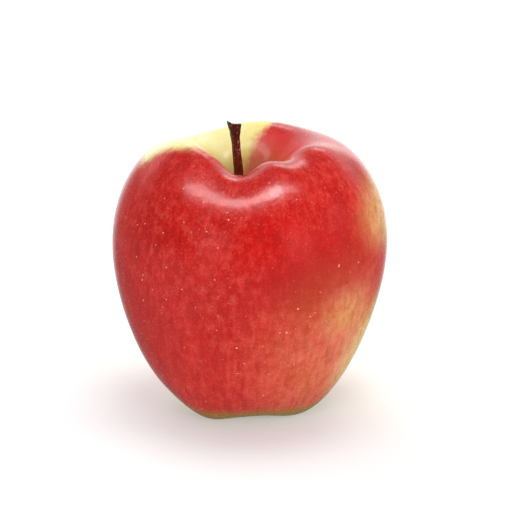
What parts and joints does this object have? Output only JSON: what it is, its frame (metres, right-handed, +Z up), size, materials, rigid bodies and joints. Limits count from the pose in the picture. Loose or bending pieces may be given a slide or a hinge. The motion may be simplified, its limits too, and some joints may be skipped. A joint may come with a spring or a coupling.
{
  "type": "apple",
  "caption": "Fresh red dessert apple with yellow patches, a deep stem hollow with its short brown stem, and a dried calyx under the base.",
  "frame": {"origin": "middle of the outline, at the height of the surface the fruit stands on", "axes": "+Z up along the core, -Y towards the viewer of the reference view, +X to that viewer's right"},
  "size_m": [0.0772, 0.078, 0.0823],
  "materials": {
    "skin": "naturally waxy, softly glossy red skin over yellow",
    "stem": "rough dark red-brown bark with a torn tan end",
    "dried_leaf": "matte, dried and woolly",
    "dried_thread": "matte, dried and dark"
  },
  "bodies": {
    "root": {"fruit_body": "skin", "stem": "stem", "sepal_1": "dried_leaf", "sepal_2": "dried_leaf", "sepal_3": "dried_leaf", "sepal_4": "dried_leaf", "sepal_5": "dried_leaf", "stamen_tuft": "dried_thread"}
  },
  "joints": []
}
